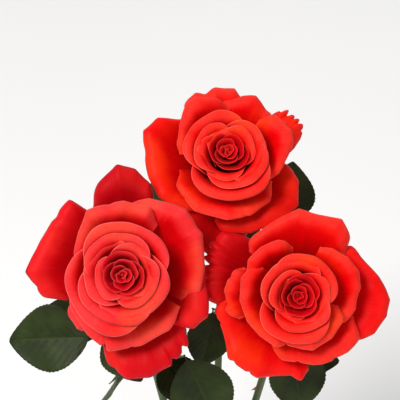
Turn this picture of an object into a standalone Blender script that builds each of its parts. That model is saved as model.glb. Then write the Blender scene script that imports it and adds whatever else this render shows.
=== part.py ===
"""Three cut roses in a plain glazed vase: closed solids for every petal, heart, calyx, stem, leaf and the vase.

Metres, +Z up, origin at the centre of the vase's foot, on the surface it stands on. The blooms face the front, -Y.
Each bloom is built about its own axis. A petal is a strip of a cup: a profile that leaves the hip, rises and rolls
back at the lip, swept across the petal's spread. A deeper cup lies wholly outside a shallower one, so petals nest.
"""

import math
import random

import bmesh
import bpy
from mathutils import Matrix, Vector

# Vase
VASE_HEIGHT = 0.200
VASE_FOOT_RADIUS = 0.036
VASE_BELLY_RADIUS = 0.050
VASE_BELLY_HEIGHT = 0.080
VASE_NECK_RADIUS = 0.034
VASE_NECK_DROP = 0.028  # from the mouth down to the narrowest place
VASE_MOUTH_RADIUS = 0.040
VASE_WALL = 0.0040
VASE_FLOOR = 0.0060
VASE_SEGMENTS = 32

# Stems
STEM_RADIUS = 0.0029
STEM_SIDES = 7
STEM_FOOT_SWELL = 1.06
STEM_RINGS = 22
THORN_LENGTH = 0.0045
HIP_RADIUS = 0.0067

# Blooms
BLOOM_RADIUS = 0.065
BLOOM_CENTRE_HEIGHT = 0.045
PETAL_THICKNESS = 0.0005
PETAL_STEP = 19  # degrees between a petal's points round the axis, at most
PETAL_ROWS = (0.0, 0.22, 0.46, 0.7, 0.86, 1.0)
CLAW_HALF_SPREAD = math.radians(36)
HEART_RADIUS = 0.0125
SEPAL_LENGTH = 0.034
SEPAL_HALF_WIDTH = 0.0052
SEPAL_THICKNESS = 0.0009

# Leaves
LEAF_BREADTH = 0.72  # a leaflet's width as a share of its length
LEAF_THICKNESS = 0.0009
RACHIS_RADIUS = 0.0011

# Distance kept between pieces that touch on the real flower
SEAT_GAP = 0.0003

RED = (0.80, 0.035, 0.020)
CORAL = (0.86, 0.085, 0.055)
GREEN = (0.05, 0.11, 0.035)
STEM_GREEN = (0.12, 0.22, 0.06)
GLAZE = (0.86, 0.85, 0.82)

# Each bloom: where its centre is from the middle of the vase's mouth, which way it faces, its colour, the middle petals
# (how many, the first and last rim radius, first angle), and its outer petals. An outer petal is its depth and its rim,
# as (degrees round the axis, radius) corners, counter-clockwise as the bloom is looked into.
TURN = 137.5
BLOOMS = {
    "left": {
        "centre": (-0.0600, -0.0560, 0.2570),
        "facing": (-0.03, -0.707, 0.707),
        "colour": CORAL,
        "middle": (6, 0.0172, 0.0400, 250.0),
        "outer": (
            (0.74, ((58, 0.042), (71, 0.047), (92, 0.048), (122, 0.0485), (140, 0.042), (172, 0.038))),
            (0.79, ((186, 0.042), (214, 0.044), (240, 0.047), (259, 0.051), (285, 0.048), (310, 0.047), (331, 0.046))),
            (0.85, ((-24, 0.048), (-14, 0.0515), (6, 0.053), (29, 0.057), (48, 0.057), (74, 0.053), (95, 0.048))),
            (0.885, ((208, 0.044), (218, 0.047), (234, 0.049), (252, 0.046))),
            (0.91, ((-44, 0.048), (-35, 0.053), (-22, 0.056), (-11, 0.058), (8, 0.059), (20, 0.057))),
            (0.94, ((122, 0.051), (129, 0.064), (155, 0.0605), (181, 0.066), (198, 0.058), (206, 0.050))),
            (0.975, ((250, 0.052), (260, 0.061), (272, 0.069), (284, 0.071), (298, 0.070), (312, 0.065), (322, 0.052))),
            (1.02, ((68, 0.050), (78, 0.063), (87, 0.070), (97, 0.0715), (110, 0.062), (120, 0.056))),
        ),
    },
    "top": {
        "centre": (0.0090, 0.0230, 0.2950),
        "facing": (0.02, -0.485, 0.875),
        "colour": RED,
        "middle": (5, 0.0170, 0.0350, 80.0),
        "outer": (
            (0.65, ((-30, 0.036), (-15, 0.039), (7, 0.044), (18, 0.0455), (39, 0.042), (48, 0.038))),
            (0.70, ((85, 0.039), (99, 0.042), (116, 0.045), (126, 0.045), (144, 0.040), (172, 0.036))),
            (0.75, ((190, 0.038), (207, 0.041), (238, 0.044), (267, 0.044), (289, 0.044), (311, 0.043), (332, 0.038))),
            (0.80, ((18, 0.042), (31, 0.044), (47, 0.046), (64, 0.0485), (75, 0.0455), (100, 0.041))),
            (0.86, ((68, 0.043), (82, 0.053), (97, 0.0520), (112, 0.0525), (125, 0.048), (131, 0.042))),
            (0.90, ((133, 0.049), (145, 0.0585), (158, 0.0620), (192, 0.054), (207, 0.053), (218, 0.049), (239, 0.042))),
            (0.94, ((256, 0.045), (262, 0.050), (286, 0.052), (312, 0.055), (326, 0.0575), (344, 0.052), (366, 0.042))),
            (0.97, ((8, 0.046), (18, 0.054), (30, 0.0600), (40, 0.0590), (50, 0.049))),
            (1.02, ((225, 0.044), (239, 0.049), (252, 0.053), (275, 0.055), (288, 0.048))),
        ),
    },
    "right": {
        "centre": (0.0540, -0.0660, 0.2470),
        "facing": (0.03, -0.707, 0.707),
        "colour": RED,
        "middle": (4, 0.0170, 0.0310, 200.0),
        "outer": (
            (0.56, ((248, 0.0310), (256, 0.033), (273, 0.035), (284, 0.0365), (307, 0.035), (329, 0.034), (345, 0.031))),
            (0.61, ((138, 0.035), (160, 0.0385), (182, 0.0385), (204, 0.037), (225, 0.036), (245, 0.036), (262, 0.033))),
            (0.66, ((92, 0.035), (106, 0.038), (124, 0.040), (142, 0.040), (165, 0.036))),
            (0.71, ((-40, 0.036), (-15, 0.040), (5, 0.043), (20, 0.0440), (35, 0.043), (62, 0.038))),
            (0.80, ((238, 0.040), (256, 0.044), (282, 0.047), (297, 0.049), (310, 0.050), (323, 0.050), (338, 0.045))),
            (0.84, ((150, 0.042), (165, 0.046), (180, 0.048), (190, 0.048), (202, 0.043))),
            (
                0.89,
                ((36, 0.046), (44, 0.052), (57, 0.058), (77, 0.056), (86, 0.058), (107, 0.051), (130, 0.049), (135, 0.045)),
            ),
            (0.94, ((-46, 0.048), (-28, 0.059), (-15, 0.0640), (-5, 0.0645), (10, 0.0580), (39, 0.051), (45, 0.046))),
            (
                0.97,
                ((180, 0.048), (188, 0.055), (222, 0.0615), (244, 0.0605), (266, 0.0535), (273, 0.0600), (279, 0.056)),
            ),
            (1.02, ((128, 0.052), (138, 0.062), (153, 0.0615), (168, 0.058), (177, 0.055), (185, 0.048))),
        ),
    },
}

# Where each stem stands on the vase's floor, and where it passes the neck, as shares of the room in the neck. The
# stems cross behind one another, in the back half of the vase.
STEM_FEET = {"left": (0.60, 0.18), "top": (0.05, 0.86), "right": (-0.60, 0.50)}
STEM_LEANS = {"left": (-0.90, 0.18), "top": (0.12, 0.86), "right": (0.80, 0.50)}


def material(name, colour, roughness):
    """A plain Principled material."""
    made = bpy.data.materials.get(name) or bpy.data.materials.new(name)
    made.use_nodes = True
    shader = made.node_tree.nodes["Principled BSDF"]
    shader.inputs["Base Color"].default_value = (*colour, 1.0)
    shader.inputs["Roughness"].default_value = roughness
    shader.inputs["Metallic"].default_value = 0.0
    return made


def add_mesh(name, points, faces, finish):
    """An object at the origin that holds these points and faces."""
    mesh = bpy.data.meshes.new(name)
    mesh.from_pydata([tuple(p) for p in points], [], faces)
    mesh.validate()
    mesh.shade_smooth()
    obj = bpy.data.objects.new(name, mesh)
    obj.data.materials.append(finish)
    bpy.context.scene.collection.objects.link(obj)
    return obj


def solidify(obj, thickness):
    """Gives a sheet its thickness, half to each side."""
    made = obj.modifiers.new("thickness", "SOLIDIFY")
    made.thickness = thickness
    made.offset = 0.0
    return obj


def bake(obj):
    """Applies an object's modifiers to its mesh."""
    graph = bpy.context.evaluated_depsgraph_get()
    mesh = bpy.data.meshes.new_from_object(obj.evaluated_get(graph))
    obj.modifiers.clear()
    obj.data = mesh
    return obj


def unite(obj, others):
    """Joins closed solids into obj and removes them."""
    for other in others:
        joined = obj.modifiers.new("join", "BOOLEAN")
        joined.operation = "UNION"
        joined.solver = "EXACT"
        joined.object = other
        bake(obj)
        bpy.data.objects.remove(other)
    return obj


def smooth(x):
    """0 below 0, 1 above 1, and a smooth step between them."""
    x = min(1.0, max(0.0, x))
    return x * x * (3 - 2 * x)


def grid_faces(rows, columns):
    """The quads of a grid whose points are listed row by row."""
    return [
        (r * columns + c, r * columns + c + 1, (r + 1) * columns + c + 1, (r + 1) * columns + c)
        for r in range(rows - 1)
        for c in range(columns - 1)
    ]


# ---- the cup that a petal is cut from ----

PROFILE_STEPS = 40


def slope_at(depth, share):
    """How far a cup's profile leans from the bloom's axis at this share of its length, in radians."""
    base = 10 + 76 * depth
    body = 66 * depth**1.75
    lip = 105 * depth**0.55
    lean = body + (base - body) * (1 - smooth(share / 0.4)) + (lip - body) * smooth((share - 0.7) / 0.3)
    return math.radians(lean)


def cup_profile(depth):
    """The start (radius, height) of a cup on the hip, and its run (radius, height) per unit length at each step."""
    start = math.radians(12 + 90 * depth)
    seat = HIP_RADIUS + SEAT_GAP + PETAL_THICKNESS / 2
    runs = [(0.0, 0.0)]
    for step in range(PROFILE_STEPS):
        lean = slope_at(depth, (step + 0.5) / PROFILE_STEPS)
        out, up = runs[-1]
        runs.append((out + math.sin(lean) / PROFILE_STEPS, up + math.cos(lean) / PROFILE_STEPS))
    return (seat * math.sin(start), seat * math.cos(start)), runs


def cup_point(depth, rim_radius, share, angle):
    """The point at this share of the way from the hip to a rim of rim_radius, round the axis by angle."""
    (radius, height), runs = cup_profile(depth)
    length = (rim_radius - radius) / runs[-1][0]
    place = share * PROFILE_STEPS
    step = min(int(place), PROFILE_STEPS - 1)
    part = place - step
    out = runs[step][0] * (1 - part) + runs[step + 1][0] * part
    up = runs[step][1] * (1 - part) + runs[step + 1][1] * part
    radius += length * out
    return Vector((radius * math.cos(angle), radius * math.sin(angle), height + length * up))


def rim_radius(rim, angle):
    """The rim's radius at an angle in degrees: straight edges between the rim's corners."""
    for (a, first), (b, second) in zip(rim, rim[1:]):
        if a <= angle <= b:
            one = Vector((math.cos(math.radians(a)), math.sin(math.radians(a)))) * first
            two = Vector((math.cos(math.radians(b)), math.sin(math.radians(b)))) * second
            way = Vector((math.cos(math.radians(angle)), math.sin(math.radians(angle))))
            across = two - one
            return (one.x * across.y - one.y * across.x) / (way.x * across.y - way.y * across.x)
    return rim[0][1] if angle < rim[0][0] else rim[-1][1]


def petal_grid(depth, rim, columns, rows):
    """The petal's points in its bloom's frame, row by row from the claw to the rim."""
    middle = math.radians((rim[0][0] + rim[-1][0]) / 2)
    half = math.radians((rim[-1][0] - rim[0][0]) / 2)
    points = []
    for share in rows:
        spread = CLAW_HALF_SPREAD + (half - CLAW_HALF_SPREAD) * smooth(share / 0.55)
        for column in range(columns):
            u = 2 * column / (columns - 1) - 1
            radius = rim_radius(rim, math.degrees(middle + half * u * 0.9999))
            points.append(cup_point(depth, radius, share, middle + spread * u))
    return points


def middle_rims(count, first, last, start):
    """The rims of the furled petals between the heart and the outer petals, as (depth, rim)."""
    for index in range(count):
        share = index / (count - 1)
        radius = first + (last - first) * share
        half = 100 - 34 * share
        centre = start + TURN * index
        rim = tuple((centre + half * u, radius * (1 - 0.10 * abs(u) ** 4)) for u in (-1, -0.6, -0.2, 0.2, 0.6, 1))
        yield radius / BLOOM_RADIUS, rim


def bloom_frame(bloom):
    """The bloom's matrix: origin at the middle of its hip, +Z along its axis, +Y up."""
    axis = Vector(bloom["facing"]).normalized()
    across = Vector((0, 0, 1)).cross(axis).normalized()
    up = axis.cross(across)
    centre = Vector(bloom["centre"]) + Vector((0, 0, VASE_HEIGHT))
    hip = centre - axis * BLOOM_CENTRE_HEIGHT
    frame = Matrix((across, up, axis)).transposed().to_4x4()
    frame.translation = hip
    return frame


def make_petals(name, bloom):
    """Every separate petal of a bloom, from the heart outwards."""
    frame = bloom_frame(bloom)
    finish = material("petal_" + name, bloom["colour"], 0.5)
    petals = sorted([*middle_rims(*bloom["middle"]), *bloom["outer"]])
    for number, (depth, rim) in enumerate(petals, 1):
        columns = 1 + math.ceil((rim[-1][0] - rim[0][0]) / PETAL_STEP)
        points = petal_grid(depth, rim, columns, PETAL_ROWS)
        obj = add_mesh(f"rose_{name}_petal_{number:02d}", points, grid_faces(len(PETAL_ROWS), columns), finish)
        obj.matrix_world = frame
        solidify(obj, PETAL_THICKNESS)


def make_heart(name, bloom):
    """The tightly furled innermost petals, as one bud-shaped solid."""
    sides = 12
    outline = [cup_point(HEART_RADIUS / BLOOM_RADIUS, HEART_RADIUS, share, 0.0) for share in (0.0, 0.2, 0.5, 0.8, 1.0)]
    points = [Vector((0, 0, HIP_RADIUS + SEAT_GAP))]
    faces = []
    for ring in outline:
        for k in range(sides):
            a = 2 * math.pi * k / sides
            points.append(Vector((ring.x * math.cos(a), ring.x * math.sin(a), ring.z)))
    points.append(Vector((0, 0, outline[-1].z - HEART_RADIUS / 4)))
    last = len(points) - 1
    for k in range(sides):
        after = (k + 1) % sides
        faces.append((0, 1 + after, 1 + k))
        for row in range(len(outline) - 1):
            low, high = 1 + row * sides, 1 + (row + 1) * sides
            faces.append((low + k, low + after, high + after, high + k))
        top = 1 + (len(outline) - 1) * sides
        faces.append((top + k, top + after, last))
    obj = add_mesh(f"rose_{name}_heart", points, faces, material("petal_" + name, bloom["colour"], 0.5))
    obj.matrix_world = bloom_frame(bloom)


def make_calyx(name, bloom):
    """A collar round the hip and five pointed sepals that bend back from it."""
    columns, rows = 3, 4
    collar = HIP_RADIUS + SEAT_GAP + SEPAL_THICKNESS / 2
    points, faces = [], []
    for band_height, band_radius in ((-0.0062, collar * 0.94), (-0.0036, collar * 1.02)):
        for k in range(5 * columns):
            a = 2 * math.pi * k / (5 * columns)
            points.append(Vector((band_radius * math.cos(a), band_radius * math.sin(a), band_height)))
    ring = 5 * columns
    for k in range(ring):
        faces.append((k, (k + 1) % ring, ring + (k + 1) % ring, ring + k))
    for sepal in range(5):
        middle = 2 * math.pi * (sepal + 0.5) / 5
        out = Vector((math.cos(middle), math.sin(middle), 0))
        side = Vector((-math.sin(middle), math.cos(middle), 0))
        below = [ring + (sepal * columns + c) % ring for c in range(columns + 1)]
        lean = 0.0
        spot = out * collar * 1.02 + Vector((0, 0, -0.0036))
        for row in range(1, rows + 1):
            lean = math.radians(104 + 46 * row / rows)
            step = SEPAL_LENGTH / rows
            spot = spot + (out * math.sin(lean) + Vector((0, 0, math.cos(lean)))) * step
            width = SEPAL_HALF_WIDTH * (1 - (row / rows) ** 1.5) + 0.0006
            here = []
            for c in range(columns + 1):
                u = 2 * c / columns - 1
                here.append(len(points))
                points.append(spot + side * (width * u) - out * (0.0012 * abs(u)) * (1 - row / rows))
            for c in range(columns):
                faces.append((below[c], below[c + 1], here[c + 1], here[c]))
            below = here
    obj = add_mesh(f"rose_{name}_calyx", points, faces, material("sepal", STEM_GREEN, 0.55))
    obj.matrix_world = bloom_frame(bloom)
    solidify(obj, SEPAL_THICKNESS)


# ---- stems ----


def neck_room():
    """How far a stem's middle can stand from the vase's axis in its neck."""
    return VASE_NECK_RADIUS - VASE_WALL - STEM_RADIUS - 2 * SEAT_GAP


def stem_path(name):
    """Points down the middle of a stem, from its cut end to its hip, evenly spaced."""
    frame = bloom_frame(BLOOMS[name])
    hip, axis = frame.translation, frame.col[2].to_3d()
    room = neck_room()
    foot = Vector((*[room * x for x in STEM_FEET[name]], VASE_FLOOR + SEAT_GAP))
    lean = Vector((*[room * x for x in STEM_LEANS[name]], VASE_HEIGHT - VASE_NECK_DROP))
    straight = (lean - foot).normalized()
    foot.z += STEM_RADIUS * STEM_FOOT_SWELL * math.hypot(straight.x, straight.y)
    reach = (hip - lean).length
    knots = (foot, lean, lean + straight * reach * 0.40, hip - axis * reach * 0.30, hip)
    lower = [foot.lerp(lean, k / 12) for k in range(12)]
    upper = []
    for k in range(41):
        t = k / 40
        upper.append(
            knots[1] * (1 - t) ** 3
            + knots[2] * 3 * t * (1 - t) ** 2
            + knots[3] * 3 * t * t * (1 - t)
            + knots[4] * t**3
        )
    return lower + upper


def point_along(path, distance):
    """The point this far along a path, and the path's direction there."""
    for a, b in zip(path, path[1:]):
        step = (b - a).length
        if distance <= step:
            return a.lerp(b, distance / step), (b - a).normalized()
        distance -= step
    return path[-1], (path[-1] - path[-2]).normalized()


def path_length(path):
    return sum((b - a).length for a, b in zip(path, path[1:]))


def tube(name, rings, sides, finish):
    """A closed tube through (centre, direction, radius) rings, turned as little as it can be along the way."""
    points, faces = [], []
    across = rings[0][1].orthogonal().normalized()
    for centre, direction, radius in rings:
        across = (across - direction * across.dot(direction)).normalized()
        other = direction.cross(across)
        for k in range(sides):
            a = 2 * math.pi * k / sides
            points.append(centre + (across * math.cos(a) + other * math.sin(a)) * radius)
    for r in range(len(rings) - 1):
        for k in range(sides):
            after = (k + 1) % sides
            faces.append((r * sides + k, r * sides + after, (r + 1) * sides + after, (r + 1) * sides + k))
    faces.append(tuple(reversed(range(sides))))
    faces.append(tuple(range((len(rings) - 1) * sides, len(rings) * sides)))
    return add_mesh(name, points, faces, finish)


def make_stem(name):
    """A stem from its cut end to its swollen hip, with thorns."""
    path = stem_path(name)
    whole = path_length(path)
    swell = [(-0.014, 1.0), (-0.0085, 1.35), (-0.0045, 2.1), (-0.001, 2.3), (0.0028, 2.1), (0.0052, 1.45), (0.0064, 0.6)]
    rings = []
    plain = whole + swell[0][0]
    for k in range(STEM_RINGS):
        centre, direction = point_along(path, plain * k / STEM_RINGS)
        rings.append((centre, direction, STEM_RADIUS * (STEM_FOOT_SWELL - 0.16 * k / STEM_RINGS)))
    hip, axis = path[-1], bloom_frame(BLOOMS[name]).col[2].to_3d()
    for offset, share in swell:
        radius = STEM_RADIUS if share == 1.0 else HIP_RADIUS * share / 2.3
        if offset < -0.01:
            centre, direction = point_along(path, whole + offset)
            rings.append((centre, direction, STEM_RADIUS * 0.95))
        else:
            rings.append((hip + axis * offset * HIP_RADIUS / 0.0067, axis, radius))
    obj = tube(f"rose_{name}_stem", rings, STEM_SIDES, material("stem", STEM_GREEN, 0.5))
    grow_thorns(obj, name)


def grow_thorns(obj, name):
    """Pulls a hooked thorn out of a few of the stem's faces above the vase."""
    chance = random.Random(name)
    mesh = bmesh.new()
    mesh.from_mesh(obj.data)
    mesh.faces.ensure_lookup_table()
    picked = [
        mesh.faces[ring * STEM_SIDES + chance.randrange(STEM_SIDES)]
        for ring in range(STEM_RINGS // 2, STEM_RINGS - 3, 2)
    ]
    down = mesh.faces[0].calc_center_median() - mesh.faces[(STEM_RINGS - 1) * STEM_SIDES].calc_center_median()
    down.normalize()
    for face in picked:
        root, out = face.calc_center_median(), face.normal.copy()
        bmesh.ops.inset_individual(mesh, faces=[face], thickness=STEM_RADIUS * 0.3)
        for vert in face.verts:
            vert.co -= down * (vert.co - root).dot(down) * 0.72
        tip = bmesh.ops.poke(mesh, faces=[face])["verts"][0]
        tip.co = root + out * THORN_LENGTH + down * THORN_LENGTH * 0.25
    mesh.to_mesh(obj.data)
    mesh.free()


# ---- leaves ----

# Each leaf: its stem, how far down the stem from the hip it grows, where its rachis ends from the hip, the way its end
# leaflet points, the way the leaflets face, the end leaflet's length, and how far along the rachis, as shares of it,
# its pairs of side leaflets grow.
LEAVES = {
    "leaf_left_side": (
        "left", 0.070, (-0.0240, -0.0240, -0.0400), (-0.98, 0.08, -0.14), (-0.12, -0.60, 0.80), 0.063, (0.62,)
    ),
    "leaf_left_front": (
        "left", 0.095, (-0.0030, -0.0200, -0.0680), (-0.36, -0.38, -0.85), (0.88, -0.42, -0.20), 0.046, (0.50,)
    ),
    "leaf_middle_low": (
        "left", 0.120, (0.0380, -0.0300, -0.0520), (0.42, -0.50, -0.75), (0.05, -0.78, 0.62), 0.060, (0.44,)
    ),
    "leaf_middle_high": (
        "right", 0.085, (-0.0540, 0.0200, -0.0390), (-0.14, -0.60, -0.78), (0.30, -0.70, 0.64), 0.044, (0.62,)
    ),
    "leaf_right_front": (
        "right", 0.105, (0.0020, -0.0130, -0.0330), (0.10, -0.55, -0.83), (0.05, -0.78, 0.62), 0.054, (0.58,)
    ),
    "leaf_top_side": (
        "top", 0.100, (0.0420, -0.0180, -0.0370), (0.22, 0.78, 0.58), (0.45, -0.62, 0.64), 0.047, (0.50,)
    ),
    "leaf_back_left": (
        "top", 0.100, (-0.0460, 0.0360, -0.0750), (-0.60, 0.62, -0.18), (-0.25, 0.35, 0.90), 0.056, (0.42, 0.74)
    ),
    "leaf_back_right": (
        "right", 0.140, (0.0200, 0.0780, -0.0900), (0.42, 0.75, -0.12), (0.20, 0.30, 0.92), 0.056, (0.42, 0.74)
    ),
}
LEAFLET_ROWS = (0.0, 0.07, 0.22, 0.45, 0.70, 0.90, 1.0)
STALK_SHARE = 0.07


def leaflet_points(base, along, facing, length):
    """A short stalk and a pointed oval blade, folded a little along its midrib and arched towards its tip."""
    along = along.normalized()
    side = facing.cross(along).normalized()
    up = along.cross(side)
    points = []
    for t in LEAFLET_ROWS:
        blade = max(0.0, (t - STALK_SHARE) / (1 - STALK_SHARE))
        width = LEAF_BREADTH * length / 2 * math.sin(math.pi * blade**0.85) ** 0.8 + RACHIS_RADIUS / 2
        spine = base + along * (length * t) - up * (length * 0.16 * t * t)
        for u in (-1, 0, 1):
            points.append(spine + side * (width * u) + up * (abs(u) * width * 0.2 * min(1.0, blade * 8)))
    return points


def make_leaf(name, stem, down, end, way, facing, length, pairs):
    """A rachis that leaves its stem, with leaflets along it, as one grown piece."""
    path = stem_path(stem)
    centre, direction = point_along(path, path_length(path) - down)
    end = bloom_frame(BLOOMS[stem]).translation + Vector(end)
    way, facing = Vector(way).normalized(), Vector(facing).normalized()
    out = end - centre
    out = (out - direction * out.dot(direction)).normalized()
    start = centre + out * (STEM_RADIUS + SEAT_GAP + RACHIS_RADIUS / 2)
    bend = start.lerp(end, 0.5) + (out - (end - start).normalized()) * (end - start).length * 0.22

    def on_rachis(t):
        return start * (1 - t) ** 2 + bend * 2 * t * (1 - t) + end * t * t

    rings = []
    for k in range(6):
        t = k / 5
        head = (bend - start) * (1 - t) + (end - bend) * t
        rings.append((on_rachis(t), head.normalized(), RACHIS_RADIUS * (1.2 - 0.3 * t)))
    finish = material("leaf", GREEN, 0.45)
    obj = tube(name, rings, 6, finish)
    blades = [(end - (end - bend).normalized() * RACHIS_RADIUS, way, length)]
    chord = (end - start).normalized()
    side = facing.cross(chord).normalized()
    for share in pairs:
        for sign in (-1, 1):
            blades.append((on_rachis(share + 0.02 * sign), side * sign * 0.84 + chord * 0.54, length * 0.74))
    pieces = []
    for base, blade_way, size in blades:
        points = leaflet_points(base, blade_way, facing, size)
        blade = add_mesh(f"{name}_blade", points, grid_faces(len(LEAFLET_ROWS), 3), finish)
        pieces.append(bake(solidify(blade, LEAF_THICKNESS)))
    unite(obj, pieces)


# ---- vase ----


def vase_radius(height):
    """The vase's outer radius at a height."""
    neck_height = VASE_HEIGHT - VASE_NECK_DROP
    if height < VASE_BELLY_HEIGHT:
        share = height / VASE_BELLY_HEIGHT
        return VASE_FOOT_RADIUS + (VASE_BELLY_RADIUS - VASE_FOOT_RADIUS) * math.sin(math.pi / 2 * share)
    if height < neck_height:
        share = (height - VASE_BELLY_HEIGHT) / (neck_height - VASE_BELLY_HEIGHT)
        return VASE_BELLY_RADIUS - (VASE_BELLY_RADIUS - VASE_NECK_RADIUS) * smooth(share)
    share = (height - neck_height) / VASE_NECK_DROP
    return VASE_NECK_RADIUS + (VASE_MOUTH_RADIUS - VASE_NECK_RADIUS) * share**1.6


def make_vase():
    """A turned vase: flat foot, belly, neck and a slightly flared mouth with a rounded lip, hollow inside."""
    neck_height = VASE_HEIGHT - VASE_NECK_DROP
    lip = VASE_HEIGHT - VASE_WALL / 2
    below = [VASE_BELLY_HEIGHT * k / 3 for k in (1, 2, 3)]
    above = [VASE_BELLY_HEIGHT + (neck_height - VASE_BELLY_HEIGHT) * k / 4 for k in (1, 2, 3, 4)]
    heights = below + above + [neck_height + VASE_NECK_DROP * k / 3 for k in (1, 2)]
    wall = [(vase_radius(h), h) for h in heights]
    floor_radius = VASE_FOOT_RADIUS - VASE_WALL
    profile = [(VASE_FOOT_RADIUS, 0.0), *wall, (VASE_MOUTH_RADIUS, lip)]
    profile += [(VASE_MOUTH_RADIUS - VASE_WALL * 0.2, VASE_HEIGHT), (VASE_MOUTH_RADIUS - VASE_WALL * 0.8, VASE_HEIGHT)]
    profile += [(VASE_MOUTH_RADIUS - VASE_WALL, lip), *((r - VASE_WALL, h) for r, h in reversed(wall))]
    profile += [(floor_radius, VASE_FLOOR)]
    points, faces = [(0.0, 0.0, 0.0)], []
    for radius, height in profile:
        for k in range(VASE_SEGMENTS):
            a = 2 * math.pi * k / VASE_SEGMENTS
            points.append((radius * math.cos(a), radius * math.sin(a), height))
    points.append((0.0, 0.0, VASE_FLOOR))
    last = len(points) - 1
    for k in range(VASE_SEGMENTS):
        after = (k + 1) % VASE_SEGMENTS
        faces.append((0, 1 + after, 1 + k))
        for row in range(len(profile) - 1):
            low, high = 1 + row * VASE_SEGMENTS, 1 + (row + 1) * VASE_SEGMENTS
            faces.append((low + k, low + after, high + after, high + k))
        top = 1 + (len(profile) - 1) * VASE_SEGMENTS
        faces.append((top + k, top + after, last))
    add_mesh("vase", points, faces, material("glaze", GLAZE, 0.25))


def main():
    for obj in list(bpy.data.objects):
        bpy.data.objects.remove(obj)
    make_vase()
    for name, bloom in BLOOMS.items():
        make_stem(name)
        make_heart(name, bloom)
        make_calyx(name, bloom)
        make_petals(name, bloom)
    for name, row in LEAVES.items():
        make_leaf(name, *row)


main()
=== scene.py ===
"""Three open cut roses in a plain glazed vase: the finished look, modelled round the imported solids.

Every petal is a thin curved sheet grown from its bloom's hip: a profile that leaves the hip, rises and rolls
back at the lip, swept across the petal's spread. Metres, +Z up, the vase's foot on the floor at the origin,
blooms to -Y.
"""

import math

import bpy
import numpy as np
from mathutils import Matrix, Vector


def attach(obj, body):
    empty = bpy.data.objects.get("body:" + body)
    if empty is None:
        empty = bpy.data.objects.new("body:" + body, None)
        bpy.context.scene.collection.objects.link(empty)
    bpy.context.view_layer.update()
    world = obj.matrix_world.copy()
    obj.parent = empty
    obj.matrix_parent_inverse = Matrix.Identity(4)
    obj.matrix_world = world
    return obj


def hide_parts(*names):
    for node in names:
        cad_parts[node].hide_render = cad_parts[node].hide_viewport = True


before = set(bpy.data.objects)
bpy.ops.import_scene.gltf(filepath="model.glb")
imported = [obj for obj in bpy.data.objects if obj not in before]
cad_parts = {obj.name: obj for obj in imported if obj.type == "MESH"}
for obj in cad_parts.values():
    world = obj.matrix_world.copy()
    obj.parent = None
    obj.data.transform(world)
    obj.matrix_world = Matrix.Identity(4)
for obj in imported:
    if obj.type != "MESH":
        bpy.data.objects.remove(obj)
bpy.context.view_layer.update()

# ---- sizes, the same as the solids' ----

VASE_HEIGHT = 0.200
VASE_FOOT_RADIUS = 0.036
VASE_BELLY_RADIUS = 0.050
VASE_BELLY_HEIGHT = 0.080
VASE_NECK_RADIUS = 0.034
VASE_NECK_DROP = 0.028
VASE_MOUTH_RADIUS = 0.040
VASE_WALL = 0.0040
VASE_FLOOR = 0.0060

STEM_RADIUS = 0.0029
STEM_FOOT_SWELL = 1.06
THORN_LENGTH = 0.0045
HIP_RADIUS = 0.0067
SEAT_GAP = 0.0003

BLOOM_RADIUS = 0.065
BLOOM_CENTRE_HEIGHT = 0.045
PETAL_THICKNESS = 0.00032
CLAW_HALF_SPREAD = math.radians(36)
SEPAL_LENGTH = 0.034
TURN = 137.5

LEAF_BREADTH = 0.72
LEAF_THICKNESS = 0.0005
RACHIS_RADIUS = 0.0011

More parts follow.
